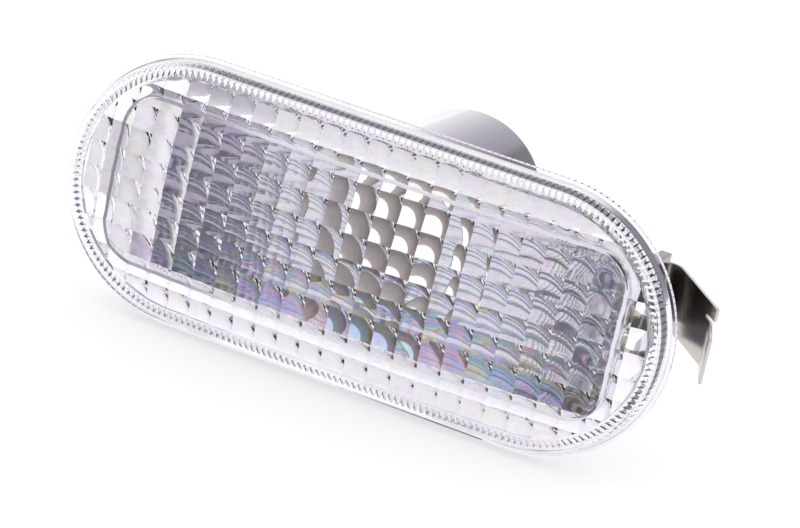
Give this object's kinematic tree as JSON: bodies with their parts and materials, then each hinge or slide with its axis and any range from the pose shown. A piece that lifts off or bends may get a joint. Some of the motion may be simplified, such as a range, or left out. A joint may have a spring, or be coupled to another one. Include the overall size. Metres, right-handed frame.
{
  "type": "vehicle indicator lamp",
  "caption": "Obround side indicator lamp with a clear pillow-optic lens, a metallised reflector housing with a bulb holder port, and a spring clip.",
  "frame": {"origin": "middle of the lens outline, on the plane where the lens edge seats on the vehicle panel", "axes": "+X along the lamp from the fixed lug to the spring clip, +Y from the seat back into the panel along the bulb holder port, +Z across the lamp, up when the lamp lies along a level panel; the lit face looks towards -Y"},
  "size_m": [0.1027, 0.0505, 0.0428],
  "materials": {
    "lens": "gloss",
    "reflector_housing": "metallised moulding",
    "spring_clip": "satin"
  },
  "bodies": {
    "root": {"lens": "lens", "reflector_housing": "reflector_housing", "spring_clip": "spring_clip"}
  },
  "joints": []
}
